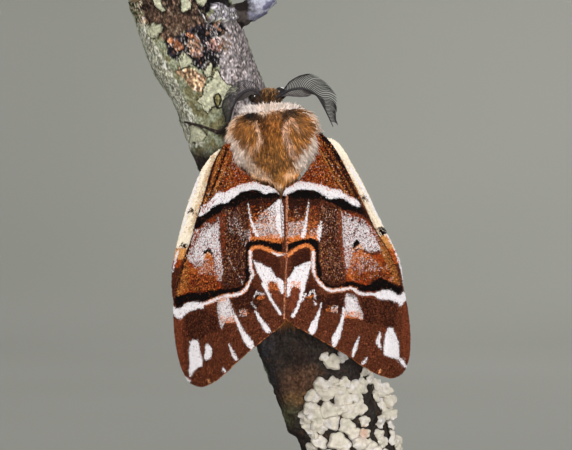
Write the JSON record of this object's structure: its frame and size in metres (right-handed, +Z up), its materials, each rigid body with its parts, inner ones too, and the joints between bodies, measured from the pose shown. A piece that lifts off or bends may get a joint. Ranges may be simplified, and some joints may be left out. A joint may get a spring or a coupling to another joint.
{
  "type": "kentish glory moth",
  "caption": "Life-size male moth resting head up on a cut length of lichened branch, wings roofed, feelers feathered, held by a round display stand.",
  "frame": {"origin": "centre of the display base's underside", "axes": "+Z up along the branch towards the moth's head, +X to the moth's right as seen from behind its back, -Y the side the moth's back faces"},
  "size_m": [0.05, 0.05, 0.0785],
  "materials": {
    "thorax_fur": "dense hair, ochre brown with cream collar and fringe",
    "head_fur": "short golden brown and dark brown hair",
    "abdomen_fur": "golden brown hair",
    "eye_surface": "glossy near-black eye",
    "antenna_surface": "matte grey-black",
    "forewing_scales": "matte scales, chocolate, rust and orange with black and white bands",
    "hindwing_scales": "matte scales, cream costa over orange-tan",
    "leg_scales": "matte black-brown scales",
    "bark": "dry grey-brown bark with pale green crusts of lichen",
    "lichen": "matte dry leafy lichen, cream grey",
    "base_plate": "satin black-stained wood",
    "rod_metal": "brushed steel"
  },
  "bodies": {
    "root": {"thorax": "thorax_fur", "head": "head_fur", "abdomen": "abdomen_fur", "eye_left": "eye_surface", "eye_right": "eye_surface", "antenna_left": "antenna_surface", "antenna_right": "antenna_surface", "forewing_left": "forewing_scales", "forewing_right": "forewing_scales", "hindwing_left": "hindwing_scales", "hindwing_right": "hindwing_scales", "leg_fore_left": "leg_scales", "leg_fore_right": "leg_scales", "leg_mid_left": "leg_scales", "leg_mid_right": "leg_scales", "leg_hind_left": "leg_scales", "leg_hind_right": "leg_scales", "perch_branch": "bark", "perch_lichen": "lichen", "stand_base": "base_plate", "stand_rod": "rod_metal"}
  },
  "joints": []
}
